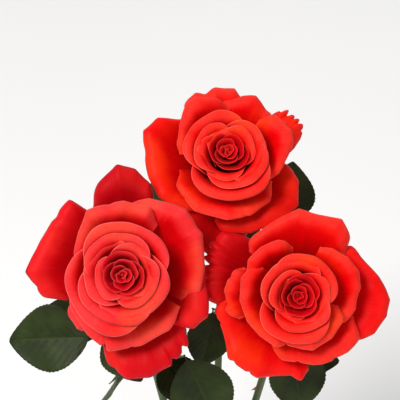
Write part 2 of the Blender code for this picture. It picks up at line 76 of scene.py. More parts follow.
# Each bloom's middle from the vase's mouth, the way it faces, its furled petals (how many, first and last
# rim radius, first angle) and its outer petals: each one's depth in the bloom and its rim's corners, as
# degrees round the axis and radii in millimetres. The rims are the solids', but for three that close gaps
# between the blooms: the left one at 0.91, the top one at 1.02 and the right one at 1.02.
BLOOMS = {
    "left": {
        "centre": (-0.0600, -0.0560, 0.2570),
        "facing": (-0.03, -0.707, 0.707),
        "middle": (6, 0.0172, 0.04, 250.0),
        "outer": (
            (0.74, (58, 71, 92, 122, 140, 172), (42, 47, 48, 48.5, 42, 38)),
            (0.79, (186, 214, 240, 259, 285, 310, 331), (42, 44, 47, 51, 48, 47, 46)),
            (0.85, (-24, -14, 6, 29, 48, 74, 95), (48, 51.5, 53, 57, 57, 53, 48)),
            (0.885, (208, 218, 234, 252), (44, 47, 49, 46)),
            (0.91, (-46, -37, -26, -13, 8, 22), (50, 58, 60.5, 56, 53.5, 53)),
            (0.94, (122, 129, 155, 181, 198, 206), (51, 64, 60.5, 66, 58, 50)),
            (0.975, (250, 260, 272, 284, 298, 312, 322), (52, 61, 69, 71, 70, 65, 52)),
            (1.02, (68, 78, 87, 97, 110, 120), (50, 63, 70, 71.5, 62, 56)),
        ),
    },
    "top": {
        "centre": (0.0090, 0.0230, 0.2950),
        "facing": (0.02, -0.485, 0.875),
        "middle": (5, 0.017, 0.035, 80.0),
        "outer": (
            (0.65, (-30, -15, 7, 18, 39, 48), (36, 39, 44, 45.5, 42, 38)),
            (0.7, (85, 99, 116, 126, 144, 172), (39, 42, 45, 45, 40, 36)),
            (0.75, (190, 207, 238, 267, 289, 311, 332), (38, 41, 44, 44, 44, 43, 38)),
            (0.8, (18, 31, 47, 64, 75, 100), (42, 44, 46, 48.5, 45.5, 41)),
            (0.86, (68, 82, 97, 112, 125, 131), (43, 53, 52, 52.5, 48, 42)),
            (0.9, (133, 145, 158, 192, 207, 218, 239), (49, 58.5, 62, 54, 53, 49, 42)),
            (0.94, (256, 262, 286, 312, 326, 344, 366), (45, 50, 52, 55, 57.5, 52, 42)),
            (0.97, (8, 18, 30, 40, 50), (46, 54, 60, 59, 49)),
            (1.02, (220, 236, 248, 259, 275, 288), (46, 56, 62, 64, 59, 49)),
        ),
    },
    "right": {
        "centre": (0.0540, -0.0660, 0.2470),
        "facing": (0.03, -0.707, 0.707),
        "middle": (4, 0.017, 0.031, 200.0),
        "outer": (
            (0.56, (248, 256, 273, 284, 307, 329, 345), (31, 33, 35, 36.5, 35, 34, 31)),
            (0.61, (138, 160, 182, 204, 225, 245, 262), (35, 38.5, 38.5, 37, 36, 36, 33)),
            (0.66, (92, 106, 124, 142, 165), (35, 38, 40, 40, 36)),
            (0.71, (-40, -15, 5, 20, 35, 62), (36, 40, 43, 44, 43, 38)),
            (0.8, (238, 256, 282, 297, 310, 323, 338), (40, 44, 47, 49, 50, 50, 45)),
            (0.84, (150, 165, 180, 190, 202), (42, 46, 48, 48, 43)),
            (0.89, (36, 44, 57, 77, 86, 107, 130, 135), (46, 52, 58, 56, 58, 51, 49, 45)),
            (0.94, (-46, -28, -15, -5, 10, 39, 45), (48, 59, 64, 64.5, 58, 51, 46)),
            (0.97, (180, 188, 222, 244, 266, 273, 279), (48, 55, 61.5, 60.5, 53.5, 60, 56)),
            (1.02, (126, 137, 150, 168, 180, 190), (52, 65.5, 66.5, 62.5, 60, 50)),
        ),
    },
}

STEM_FEET = {"left": (0.60, 0.18), "top": (0.05, 0.86), "right": (-0.60, 0.50)}
STEM_LEANS = {"left": (-0.90, 0.18), "top": (0.12, 0.86), "right": (0.80, 0.50)}

# Each leaf: its stem, how far down the stem from the hip it grows, its rachis's end from the hip, the way its
# end leaflet points, the way its leaflets face, the end leaflet's length and where its side pairs grow.
LEAVES = {
    "leaf_left_side": (
        "left", 0.070, (-0.0240, -0.0240, -0.0400), (-0.98, 0.08, -0.14), (-0.12, -0.60, 0.80), 0.063, (0.62,)
    ),
    "leaf_left_front": (
        "left", 0.095, (-0.0030, -0.0200, -0.0680),
        (-0.36, -0.38, -0.85), (0.88, -0.42, -0.20), 0.046, (0.50,)
    ),
    "leaf_middle_low": (
        "left", 0.120, (0.0380, -0.0300, -0.0520), (0.42, -0.50, -0.75), (0.05, -0.78, 0.62), 0.060, (0.44,)
    ),
    "leaf_middle_high": (
        "right", 0.085, (-0.0540, 0.0200, -0.0390), (-0.14, -0.60, -0.78), (0.30, -0.70, 0.64), 0.044, (0.62,)
    ),
    "leaf_right_front": (
        "right", 0.105, (0.0020, -0.0130, -0.0330), (0.10, -0.55, -0.83), (0.05, -0.78, 0.62), 0.054, (0.58,)
    ),
    "leaf_top_side": (
        "top", 0.100, (0.0420, -0.0180, -0.0370), (0.22, 0.78, 0.58), (0.45, -0.62, 0.64), 0.047, (0.50,)
    ),
    "leaf_back_left": (
        "top", 0.100, (-0.0460, 0.0360, -0.0750),
        (-0.60, 0.62, -0.18), (-0.25, 0.35, 0.90), 0.056, (0.42, 0.74)
    ),
    "leaf_back_right": (
        "right", 0.140, (0.0200, 0.0780, -0.0900),
        (0.42, 0.75, -0.12), (0.20, 0.30, 0.92), 0.056, (0.42, 0.74)
    ),
}


# ---- materials ----


class Wire:
    """A node's output, with arithmetic that adds Math nodes."""

    def __init__(self, paint, socket):
        self.paint = paint
        self.socket = socket

    def math(self, operation, *others):
        inputs = dict(enumerate((self, *others)))
        return self.paint.node("ShaderNodeMath", {"operation": operation}, inputs)

    def __add__(self, other):
        return self.math("ADD", other)

    def __mul__(self, other):
        return self.math("MULTIPLY", other)

    def __sub__(self, other):
        return self.math("SUBTRACT", other)

    def __rsub__(self, other):
        return self.paint.node("ShaderNodeMath", {"operation": "SUBTRACT"}, {0: other, 1: self})

    __radd__ = __add__
    __rmul__ = __mul__

    def rises(self, low, high):
        """0 below low, 1 above high, smooth between."""
        settings = {"interpolation_type": "SMOOTHSTEP"}
        inputs = {"Value": self, "From Min": low, "From Max": high}
        return self.paint.node("ShaderNodeMapRange", settings, inputs)


class Paint:
    """A material with one Principled shader."""

    def __init__(self, name, **constants):
        self.material = bpy.data.materials.new(name)
        self.material.use_nodes = True
        self.tree = self.material.node_tree
        self.shader = self.tree.nodes["Principled BSDF"]
        self.feed(self.shader, {key.replace("_", " "): value for key, value in constants.items()})

    def feed(self, node, inputs):
        for key, value in inputs.items():
            if isinstance(value, Wire):
                self.tree.links.new(value.socket, node.inputs[key])
            elif isinstance(value, tuple) and node.inputs[key].type == "RGBA":
                node.inputs[key].default_value = (*value, 1.0)
            else:
                node.inputs[key].default_value = value

    def node(self, kind, settings=None, inputs=None, out=0):
        made = self.tree.nodes.new(kind)
        for key, value in (settings or {}).items():
            setattr(made, key, value)
        self.feed(made, inputs or {})
        return Wire(self, made.outputs[out])

    def mix(self, factor, first, second):
        return self.node("ShaderNodeMix", {"data_type": "RGBA"}, {0: factor, 6: first, 7: second}, 2)

    def noise(self, place, scale, detail=2.0):
        return self.node("ShaderNodeTexNoise", None, {"Vector": place, "Scale": scale, "Detail": detail})

    def object_place(self):
        return self.node("ShaderNodeTexCoord", out="Object")

    def sheet_place(self):
        """How far across and how far along a sheet, each from 0 to 1."""
        place = self.node("ShaderNodeUVMap", {"uv_map": "UVMap"})
        split = self.node("ShaderNodeSeparateXYZ", None, {0: place})
        return split, Wire(self, split.socket.node.outputs[1])

    def combine(self, x, y, z=0.0):
        return self.node("ShaderNodeCombineXYZ", None, {0: x, 1: y, 2: z})

    def bump(self, height, distance, strength=1.0):
        inputs = {"Height": height, "Distance": distance, "Strength": strength}
        return self.node("ShaderNodeBump", None, inputs)

    def finish(self, **inputs):
        self.feed(self.shader, {key.replace("_", " "): value for key, value in inputs.items()})
        return self.material


def petal_paint(name, deep, body, lip, margin, warm, bruise):
    """Velvety petal: deep at the claw, partly its own deeper red and partly painted shade down in the cup;
    lighter at the lip, partly its own tone and partly painted light where the lip faces the lamps; paler on
    the very rim, partly its own edge and partly a painted highlight; faint veins that fan out from the claw.
    """
    paint = Paint(
        name,
        Subsurface_Weight=0.15,
        Subsurface_Radius=(1.0, 0.10, 0.05),
        Subsurface_Scale=0.002,
        Sheen_Weight=0.03,
        Sheen_Roughness=0.45,
        Sheen_Tint=(1.0, 0.35, 0.30),
        Specular_IOR_Level=0.07,
    )
    across, along = paint.sheet_place()
    place = paint.object_place()
    veins = paint.noise(paint.combine(across * 46.0, along * 2.5), 1.0, 3.0)
    patches = paint.noise(place, 38.0, 3.0)
    cells = paint.noise(place, 2600.0, 1.0)
    # Painted shade and light, partly the petal's own tone: darker towards the claw down in the cup, lighter
    # towards the lip.
    shade = along + (patches - 0.5) * 0.35 + (veins - 0.5) * 0.10
    colour = paint.mix(shade.rises(0.15, 0.80), deep, body)
    colour = paint.mix(shade.rises(0.76, 1.02), colour, lip)
    zones = paint.noise(place, 24.0, 2.0)
    colour = paint.mix(zones.rises(0.50, 0.68) * shade.rises(0.55, 0.90) * 0.45, colour, warm)
    # The very rim paler: partly the petal's own edge, partly a painted highlight.
    rim = along + (veins - 0.5) * 0.012
    colour = paint.mix(rim.rises(0.982, 0.997) * 0.6, colour, margin)
    spots = paint.noise(place, 60.0, 2.0).rises(0.54, 0.66)
    colour = paint.mix(spots * rim.rises(0.955, 0.995) * bruise, colour, (0.28, 0.0, 0.022))
    relief = veins * 0.5 + patches * 0.6 + cells * 0.04
    return paint.finish(
        Base_Color=colour, Roughness=0.40 + veins * 0.22, Normal=paint.bump(relief, 0.0009, 0.55)
    )


def leaf_paint(name, blade, vein, roughness, relief, specular):
    """A leaf's face: midrib and side veins drawn on the sheet, with the blade puffed up between them."""
    paint = Paint(name, Specular_IOR_Level=specular, Subsurface_Weight=0.0)
    across, along = paint.sheet_place()
    place = paint.object_place()
    off = (across - 0.5).math("ABSOLUTE")
    wander = (paint.noise(place, 120.0) - 0.5) * 0.05
    ribs = ((along - off * 0.62 + wander) * 9.0).math("PINGPONG", 0.5)
    fine = paint.noise(paint.combine(across * 30.0, along * 40.0), 1.0, 3.0)
    midrib = 1.0 - off.rises(0.006, 0.030)
    side_vein = (1.0 - ribs.rises(0.015, 0.075)) * (1.0 - off.rises(0.30, 0.50))
    veins = midrib.math("MAXIMUM", side_vein * 0.55)
    patches = paint.noise(place, 55.0, 3.0)
    tone = paint.mix(patches.rises(0.3, 0.75), tuple(0.62 * c for c in blade), tuple(1.3 * c for c in blade))
    colour = paint.mix(veins * 0.42, tone, vein)
    height = ribs.rises(0.0, 0.4) * 0.35 + fine * 0.3 + off.rises(0.0, 0.06) * 0.8
    return paint.finish(
        Base_Color=colour, Roughness=roughness + fine * 0.18, Normal=paint.bump(height, relief, 0.7)
    )


def stem_paint(name, green, blush):
    """A smooth green stem, ribbed along its length and blushed with red in patches."""
    paint = Paint(name, Specular_IOR_Level=0.4, Coat_Weight=0.0)
    place = paint.object_place()
    patches = paint.noise(place, 45.0, 4.0)
    stretched = paint.node("ShaderNodeMapping", None, {"Vector": place, "Scale": (900.0, 900.0, 25.0)})
    ribs = paint.noise(stretched, 1.0, 2.0)
    colour = paint.mix(patches.rises(0.45, 0.72) * 0.75, green, blush)
    colour = paint.mix(ribs.rises(0.4, 0.8) * 0.35, colour, tuple(1.7 * c for c in green))
    return paint.finish(Base_Color=colour, Roughness=0.38 + ribs * 0.2, Normal=paint.bump(ribs, 0.0004, 0.5))


def glaze_paint():
    """Off-white glaze, faintly mottled, thin and warm on the lip, with bare clay round the foot."""
    paint = Paint("vase_glaze", Coat_Roughness=0.06, Coat_IOR=1.5, Specular_IOR_Level=0.5)
    place = paint.object_place()
    split = paint.node("ShaderNodeSeparateXYZ", None, {0: place})
    height = Wire(paint, split.socket.node.outputs[2])
    mottle = paint.noise(place, 60.0, 4.0)
    specks = paint.noise(place, 900.0, 1.0).rises(0.70, 0.76)
    colour = paint.mix(mottle.rises(0.3, 0.7), (0.70, 0.685, 0.65), (0.75, 0.735, 0.70))
    colour = paint.mix(specks * 0.35, colour, (0.42, 0.33, 0.24))
    lip = (height + mottle * 0.002).rises(VASE_HEIGHT - 0.0018, VASE_HEIGHT + 0.0002)
    colour = paint.mix(lip * 0.45, colour, (0.62, 0.52, 0.40))
    bare = 1.0 - (height + mottle * 0.0012).rises(0.0022, 0.0030)
    colour = paint.mix(bare, colour, (0.66, 0.55, 0.43))
    ripple = paint.node("ShaderNodeMapping", None, {"Vector": place, "Scale": (4.0, 4.0, 260.0)})
    relief = paint.noise(ripple, 1.0, 2.0) * 0.5 + mottle * 0.5
    return paint.finish(
        Base_Color=colour,
        Roughness=0.22 + bare * 0.55,
        Coat_Weight=0.6 - bare * 0.6,
        Normal=paint.bump(relief, 0.0006, 0.35),
    )


def floor_paint():
    paint = Paint("pale_floor", Specular_IOR_Level=0.1)
    soft = paint.noise(paint.object_place(), 3.0, 3.0)
    colour = paint.mix(soft, (0.90, 0.90, 0.905), (0.93, 0.93, 0.93))
    return paint.finish(Base_Color=colour, Roughness=0.85 + soft * 0.1)


# ---- small tools ----


def smooth(x):
    """0 below 0, 1 above 1, and a smooth step between them."""
    x = np.clip(x, 0.0, 1.0)
    return x * x * (3 - 2 * x)


def deselect_all():
    """Leaves nothing selected, as every new piece needs."""
    bpy.ops.object.select_all(action="DESELECT")


def add_sheet(name, columns, rows, shape, thickness, front, back):
    """A grid bent by shape(across -1..1, along 0..1) into a thin closed sheet, finished front and back."""
    deselect_all()
    bpy.ops.mesh.primitive_grid_add(x_subdivisions=columns, y_subdivisions=rows, size=2, calc_uvs=True)
    sheet = bpy.context.object
    sheet.name = sheet.data.name = name
    flat = np.empty(len(sheet.data.vertices) * 3)
    sheet.data.vertices.foreach_get("co", flat)
    flat = flat.reshape(-1, 3)
    across = flat[:, 0].reshape(rows + 1, columns + 1)
    along = (flat[:, 1].reshape(rows + 1, columns + 1) + 1) / 2
    points = shape(across, along)
    sheet.data.vertices.foreach_set("co", points.reshape(-1))
    sheet.data.materials.append(back)
    sheet.data.materials.append(front)
    wall = sheet.modifiers.new("wall", "SOLIDIFY")
    wall.thickness = thickness
    wall.offset = 0.0
    wall.material_offset = 1
    bpy.ops.object.modifier_apply(modifier=wall.name)
    bpy.ops.object.shade_smooth()
    return sheet


def join(name, pieces):
    """Makes one object of several."""
    deselect_all()
    for piece in pieces:
        piece.select_set(True)
    bpy.context.view_layer.objects.active = pieces[0]
    bpy.ops.object.join()
    whole = bpy.context.object
    whole.name = whole.data.name = name
    return whole


def seat(piece, slot, *nodes):
    """Hangs a finished piece on the root body and hides the imported parts that it stands for."""
    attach(piece, "root")
    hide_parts(*nodes)


def add_tube(name, points, radii, sides, finish):
    """A round tube along points, thick as radii, with closed ends."""
    deselect_all()
    bpy.ops.curve.primitive_nurbs_path_add(radius=1.0)
    tube = bpy.context.object
    tube.name = tube.data.name = name
    tube.data.splines.clear()
    spline = tube.data.splines.new("POLY")
    spline.points.add(len(points) - 1)
    for knot, place, radius in zip(spline.points, points, radii):
        knot.co = (*place, 1.0)
        knot.radius = radius
    tube.data.bevel_depth = 1.0
    tube.data.bevel_resolution = sides
    tube.data.use_fill_caps = True
    tube.data.materials.append(finish)
    bpy.ops.object.convert(target="MESH")
    tube = bpy.context.object
    bpy.ops.object.shade_smooth_by_angle(angle=math.radians(50))
    return tube


# ---- blooms ----

HEART_PETAL_THICKNESS = 0.00026
PROFILE_STEPS = 60
PETAL_ROWS = 36
FURLED_COLUMNS = 60
OUTER_COLUMNS = 90
# How far inside its petal's rim a folded-in petal's rim is, and how many degrees round from it and how wide.
TWIN_INSET = 0.0024
TWIN_TURN = 165
TWIN_HALF_SPREAD = 105


def bloom_matrix(bloom):
    """Origin at the middle of the hip, +Z along the bloom's axis, +Y up."""
    axis = Vector(bloom["facing"]).normalized()
    across = Vector((0, 0, 1)).cross(axis).normalized()
    up = axis.cross(across)
    matrix = Matrix((across, up, axis)).transposed().to_4x4()
    middle = Vector(bloom["centre"]) + Vector((0, 0, VASE_HEIGHT))
    matrix.translation = middle - axis * BLOOM_CENTRE_HEIGHT
    return matrix


def placed(points, matrix):
    """Points in a bloom's frame, in the row's frame."""
    turn = np.array(matrix.to_3x3())
    return points @ turn.T + np.array(matrix.translation)


def lean(depth, share, curl):
    """How far a cup's profile leans from the axis, in radians, by depth and share of its length."""
    base = 10 + 76 * depth
    body = 66 * depth**1.75
    lip = 105 * depth**0.55
    angle = body + (base - body) * (1 - smooth(share / 0.4)) + (lip - body) * smooth((share - 0.7) / 0.3)
    return np.radians(angle + curl * smooth((share - 0.84) / 0.16))


def rim_table(rim, softness):
    """The rim's radius at even steps from one side to the other: straight edges, softened at the corners."""
    angles = np.radians(np.linspace(rim[0][0], rim[-1][0], 181))
    corners = [(np.radians(a), r) for a, r in rim]
    radii = np.empty_like(angles)
    for (a, first), (b, second) in zip(corners, corners[1:]):
        here = (angles >= a - 1e-6) & (angles <= b + 1e-6)
        t = np.sin(b - angles[here]) / first * second + np.sin(angles[here] - a)
        radii[here] = np.sin(b - a) * second / t
    reach = np.arange(-30, 31)
    spread = max(1.0, math.radians(softness) / (angles[1] - angles[0]))
    weight = np.exp(-((reach / spread) ** 2))
    padded = np.pad(radii, 30, mode="reflect", reflect_type="odd")
    return np.convolve(padded, weight / weight.sum(), mode="valid")


# Notches in petals' rims, by bloom and depth: degrees round the axis, half width, share of the radius.
TEARS = {
    ("left", 0.79): ((256, 1.8, 0.075), (277, 1.3, 0.015)),
    ("left", 0.85): ((-16, 2.0, 0.05), (35, 3.0, 0.012)),
    ("left", 0.94): ((143, 3.0, 0.018), (190, 2.0, 0.015)),
    ("left", 0.975): ((300, 1.4, 0.045), (309, 1.8, 0.055), (265, 2.0, 0.015)),
    ("left", 0.74): ((104, 3.0, 0.020),),
    ("top", 0.75): ((222, 1.5, 0.02), (284, 2.0, 0.015)),
    ("top", 0.86): ((105, 4.0, 0.035),),
    ("top", 0.90): ((172, 5.0, 0.02),),
    ("top", 0.97): ((23, 0.9, 0.025), (28.5, 1.2, 0.05), (33, 0.8, 0.03), (38, 1.3, 0.065), (43, 0.9, 0.03)),
    ("right", 0.84): ((163, 2.5, 0.025), (186, 2.0, 0.02)),
    ("right", 0.97): ((226, 1.5, 0.02), (238, 1.2, 0.02), (199, 1.4, 0.015)),
    ("right", 1.02): (
        (144, 1.0, 0.03), (150, 1.4, 0.055), (154, 0.8, 0.035),
        (159, 1.4, 0.07), (164, 0.9, 0.03), (169, 1.2, 0.05),
    ),
    ("right", 0.80): ((300, 2.0, 0.015), (270, 1.5, 0.02)),
}


class Petal:
    """One petal's shape: its depth in the bloom, its rim and its own small accidents."""

    def __init__(self, depth, rim, tears, seed, furled):
        self.tears = tears
        self.depth = depth
        self.rim = rim
        self.spiral = 0.014 if furled else 0.0
        self.softness = 13.0 if furled else 0.6
        self.sink = 0.26 if furled else 0.0
        self.chance = np.random.default_rng(seed)

    def shape(self, across, along):
        chance = self.chance
        outer = smooth((self.depth - 0.45) / 0.35)
        columns = across[0]
        share = np.linspace(0, 1, PROFILE_STEPS + 1)
        depth = self.depth + self.spiral * columns
        curl = (48 - 8 * outer) * (1 + 0.35 * np.sin(columns * chance.uniform(2, 4) + chance.uniform(0, 6)))
        middle_share = (share[1:] + share[:-1])[:, None] / 2
        leans = lean(depth[None, :], middle_share, curl[None, :])
        out = np.vstack([np.zeros(len(columns)), np.cumsum(np.sin(leans), axis=0)]) / PROFILE_STEPS
        up = np.vstack([np.zeros(len(columns)), np.cumsum(np.cos(leans), axis=0)]) / PROFILE_STEPS
        start = np.radians(12 + 90 * depth)
        hip = HIP_RADIUS + SEAT_GAP + PETAL_THICKNESS / 2
        table = rim_table(self.rim, self.softness)
        rim = np.interp((columns + 1) / 2, np.linspace(0, 1, len(table)), table)
        nicks = sum(
            chance.uniform(-1, 1) * np.sin(columns * k + chance.uniform(0, 6)) / k**0.7
            for k in (5, 9, 14, 23, 37)
        )
        tuck = smooth((np.abs(columns) - 0.74) / 0.26) ** 1.3
        degrees = self.rim[0][0] + (columns + 1) / 2 * (self.rim[-1][0] - self.rim[0][0])
        for where, width, bite in self.tears:
            rim = rim * (1 - bite * np.exp(-(((degrees - where) / width) ** 2)))
        rim = rim * (1 + 0.008 * nicks) * (1 - (0.10 - 0.06 * outer) * tuck)
        length = (rim - hip * np.sin(start)) / out[-1]
        rows = along[:, 0]
        radius = np.empty_like(across)
        height = np.empty_like(across)
        slope = np.empty_like(across)
        for c in range(len(columns)):
            kept = rows * (1 - self.sink * smooth((abs(columns[c]) - 0.30) / 0.70) ** 1.3)
            radius[:, c] = hip * np.sin(start[c]) + length[c] * np.interp(kept, share, out[:, c])
            height[:, c] = hip * np.cos(start[c]) + length[c] * np.interp(kept, share, up[:, c])
            slope[:, c] = np.interp(kept, middle_share[:, 0], leans[:, c])
        middle = math.radians((self.rim[0][0] + self.rim[-1][0]) / 2)
        half = math.radians((self.rim[-1][0] - self.rim[0][0]) / 2)
        spread = CLAW_HALF_SPREAD + (half - CLAW_HALF_SPREAD) * smooth(along / 0.55)
        angle = middle + spread * across
        away = self.accidents(across, along, outer)
        radius = radius + away * np.cos(slope)
        height = height - away * np.sin(slope)
        return np.stack([radius * np.cos(angle), radius * np.sin(angle), height], axis=-1)

    def accidents(self, across, along, outer):
        """How far each point stands off the plain cup, outwards: side curl, crease, waves and dents."""
        chance = self.chance
        side = smooth((np.abs(across) - 0.66) / 0.34) ** 1.5 * smooth(along / 0.5)
        away = side * (0.0007 + 0.0022 * outer)
        crease = np.exp(-(((across - chance.uniform(-0.12, 0.12)) / 0.10) ** 2)) * smooth(along * 1.4)
        away -= crease * 0.0006 * outer
        for k in (3.0, 5.5, 9.0):
            sideways = across * k * chance.uniform(0.8, 1.2)
            wave = np.sin(sideways + along * chance.uniform(-2, 2) + chance.uniform(0, 6))
            away += wave * smooth((along - 0.45) / 0.55) * (0.0003 + 0.0010 * outer) / (k / 3.0)
        return away


FURLED_CORNERS = (-1, -0.62, -0.28, 0.05, 0.36, 0.66, 1)
FURLED_WAVES = (
    (-1, 0.6, -0.5, 0.9, -0.2, 0.7, -1),
    (-1, 0.3, 0.9, -0.6, 0.8, 0.1, -1),
    (-1, 0.9, -0.2, 0.6, -0.7, 0.9, -1),
    (-1, -0.4, 0.9, 0.0, 0.9, -0.3, -1),
    (-1, 0.8, 0.2, -0.5, 0.9, 0.3, -1),
    (-1, 0.2, 0.9, -0.4, 0.5, 0.8, -1),
)


def furled_rim(index, radius, centre, half):
    """A furled petal's rim: an uneven spiral arc."""
    waves = FURLED_WAVES[index % len(FURLED_WAVES)]
    pairs = zip(FURLED_CORNERS, waves)
    return tuple((centre + half * u, radius * (1 + 0.030 * k + 0.06 * u)) for u, k in pairs)


def furled_rims(count, first, last, start):
    """The rims of the furled petals between the heart and the outer petals, as (depth, rim)."""
    for index in range(count):
        share = index / (count - 1)
        radius = first + (last - first) * share
        half = 142 - 44 * share
        centre = start + TURN * index
        yield radius / BLOOM_RADIUS, furled_rim(index, radius, centre, half)


# The furled heart of each bloom: every petal's rim radius in mm, from the very middle out.
HEARTS = {
    "left": (1.2, 2.3, 3.4, 4.6, 5.9, 7.4, 9.0, 10.6, 12.2, 13.8, 15.4),
    "top": (1.1, 2.1, 3.1, 4.2, 5.4, 6.7, 8.1, 9.6, 11.2, 12.8, 14.4),
    "right": (1.1, 2.1, 3.1, 4.2, 5.4, 6.7, 8.1, 9.7, 11.4, 13.1, 14.8),
}
# The way in which each heart's inner petals stand off its middle, in degrees, which opens a gap opposite.
HEART_LEANS = {"left": 235, "top": 130, "right": 20}


def heart_petal(index, rims, start, off, seed):
    """One of the furled innermost petals: an upright wall that leans outwards to a thin, flared rim."""
    chance = np.random.default_rng(seed)
    share = index / (len(rims) - 1)
    rim = rims[index] / 1000
    inner = rims[index - 1] / 1000 if index else 0.0003
    gap = rim - inner
    middle = math.radians(start - TURN * (len(rims) - index))
    half = math.radians(150 - 40 * share)
    corners = np.linspace(-1, 1, 9)
    rough = chance.uniform(-0.30, 0.30, 9) * gap
    rough[4] += 0.25 * gap
    top = 0.0385 + 0.0050 * share**0.8 + chance.uniform(-0.0005, 0.0005)
    tilt = chance.uniform(-0.25, 0.25) * gap
    flare = chance.uniform(20, 42)

    def shape(across, along):
        along = 1 - (1 - along) ** 2
        uneven = np.interp(across, corners, rough)
        steps = np.linspace(0, 1, 81)
        wall = 4 + (14 + 10 * share) * smooth((steps - 0.3) / 0.5)
        lean_angle = np.radians(wall + flare * smooth((steps - 0.90) / 0.10))
        low = HIP_RADIUS * 0.95
        tall = (top - low) / np.mean(np.cos(lean_angle))
        out = np.concatenate([[0], np.cumsum(np.sin(lean_angle[1:]))]) * tall / 80
        up = np.concatenate([[0], np.cumsum(np.cos(lean_angle[1:]))]) * tall / 80
        end = smooth((np.abs(across) - 0.25) / 0.75) ** 1.4
        cut = along * (1 - 0.17 * end - 0.008 * np.sin(across * 7 + index))
        stray = (uneven + tilt * across - 0.35 * gap * end) * along
        radius = rim - out[-1] + np.interp(cut, steps, out) + stray
        radius = np.maximum(radius, 0.0004 + 0.0012 * share)
        height = low + np.interp(cut, steps, up)
        angle = middle + half * across
        shift = 0.0007 * (1 - share) * share * 4 * along
        x = radius * np.cos(angle) + shift * math.cos(math.radians(off))
        return np.stack([x, radius * np.sin(angle) + shift * math.sin(math.radians(off)), height], axis=-1)

    return shape


# Petal finishes. Each row gives the colours at the claw (darker partly as painted shade), on the blade, at
# the lip (lighter partly as painted light), on the very rim (paler partly as a painted highlight) and in the
# warmer zones, and how bruised the rim is.
PETAL_TONES = {
    "red": (
        # Inside.
        (
            (0.26, 0.0, 0.0), (0.7, 0.0, 0.001), (0.92, 0.03, 0.019),
            (0.92, 0.12, 0.09), (0.95, 0.062, 0.006), 0.15,
        ),
        # Outside.
        (
            (0.35, 0.01, 0.005), (0.68, 0.004, 0.004), (0.86, 0.022, 0.016),
            (0.78, 0.05, 0.04), (0.9, 0.05, 0.01), 0.3,
        ),
        # Inside of the outer petals.
        (
            (0.26, 0.0, 0.0), (0.66, 0.0, 0.001), (0.86, 0.01, 0.007),
            (0.8, 0.05, 0.04), (0.92, 0.04, 0.003), 0.7,
        ),
        # Inside of the outermost petal: a darker copy of the inside, painted shade for the outermost petals
        # that lie in the blooms' shadow.
        (
            (0.2, 0.0, 0.001), (0.42, 0.0, 0.002), (0.6, 0.003, 0.006),
            (0.5, 0.02, 0.03), (0.7, 0.014, 0.003), 0.8,
        ),
        # The heart.
        (
            (0.2, 0.0, 0.001), (0.48, 0.0, 0.003), (0.8, 0.018, 0.019),
            (0.92, 0.11, 0.09), (0.8, 0.02, 0.016), 0.1,
        ),
    ),
    "coral": (
        # Inside.
        (
            (0.25, 0.0, 0.002), (0.58, 0.0, 0.002), (0.84, 0.034, 0.036),
            (0.92, 0.17, 0.15), (0.92, 0.08, 0.035), 0.15,
        ),
        # Outside.
        (
            (0.4, 0.02, 0.01), (0.7, 0.01, 0.01), (0.88, 0.04, 0.04),
            (0.82, 0.08, 0.07), (0.92, 0.08, 0.04), 0.3,
        ),
        # Inside of the outer petals.
        (
            (0.24, 0.0, 0.002), (0.5, 0.0, 0.003), (0.66, 0.006, 0.012),
            (0.6, 0.03, 0.05), (0.76, 0.02, 0.01), 0.7,
        ),
        # Inside of the outermost petal: a darker copy of the inside, painted shade for the outermost petals
        # that lie in the blooms' shadow.
        (
            (0.2, 0.0, 0.002), (0.38, 0.0, 0.003), (0.5, 0.003, 0.009),
            (0.45, 0.01, 0.03), (0.6, 0.01, 0.006), 0.8,
        ),
        # The heart.
        (
            (0.2, 0.0, 0.003), (0.45, 0.0, 0.005), (0.78, 0.026, 0.034),
            (0.92, 0.16, 0.15), (0.8, 0.034, 0.03), 0.1,
        ),
    ),
}
# Petals at least this deep in a bloom have the finish of the outer petals, and past 1 that of the outermost,
# which is darker as painted shade.
GUARD_DEPTH = 0.90

# From the second of each bloom's furled petals up to this one, each has another one folded in with it.
TWINS = {"left": 5, "top": 4, "right": 4}


def make_bloom(name, bloom, finishes, seed):
    """Every petal of a bloom."""
    matrix = bloom_matrix(bloom)
    inside, outside, guard, shaded_outermost, core = finishes
    heart = []
    rims = HEARTS[name]
    for index in range(len(rims)):
        shape = heart_petal(index, rims, bloom["middle"][3], HEART_LEANS[name], seed + index)
        grown = lambda a, b: placed(shape(a, b), matrix)
        heart.append(add_sheet(f"heart_{index}", 48, 24, grown, HEART_PETAL_THICKNESS, core, outside))
    seat(join(f"rose_{name}_furled_heart", heart), f"petal_{name}", f"rose_{name}_heart")
    outer = [(depth, tuple(zip(turns, (r / 1000 for r in radii)))) for depth, turns, radii in bloom["outer"]]
    petals = sorted([*furled_rims(*bloom["middle"]), *outer])
    for number, (depth, rim) in enumerate(petals, 1):
        furled = number <= bloom["middle"][0]
        own = Petal(depth, rim, TEARS.get((name, depth), ()), seed + 100 + number, furled)
        layers = [own]
        if 1 < number <= TWINS[name]:
            radius = depth * BLOOM_RADIUS - TWIN_INSET
            centre = (rim[0][0] + rim[-1][0]) / 2 + TWIN_TURN
            twin = furled_rim(number + 2, radius, centre, TWIN_HALF_SPREAD)
            layers.append(Petal(radius / BLOOM_RADIUS, twin, (), seed + 200 + number, furled))
        # Past depth 1 the darker finish paints shade on the outermost petals.
        face = shaded_outermost if depth > 1 else guard if depth >= GUARD_DEPTH else inside
        sheets = []
        for layer in layers:
            columns = FURLED_COLUMNS if furled else OUTER_COLUMNS
            label = f"layer_{len(sheets)}"
            grown = lambda a, b: placed(layer.shape(a, b), matrix)
            sheets.append(add_sheet(label, columns, PETAL_ROWS, grown, PETAL_THICKNESS, face, outside))
        piece = join(f"rose_{name}_open_petal_{number:02d}", sheets)
        seat(piece, f"petal_{name}", f"rose_{name}_petal_{number:02d}")


# ---- calyx ----

SEPAL_THICKNESS = 0.0006


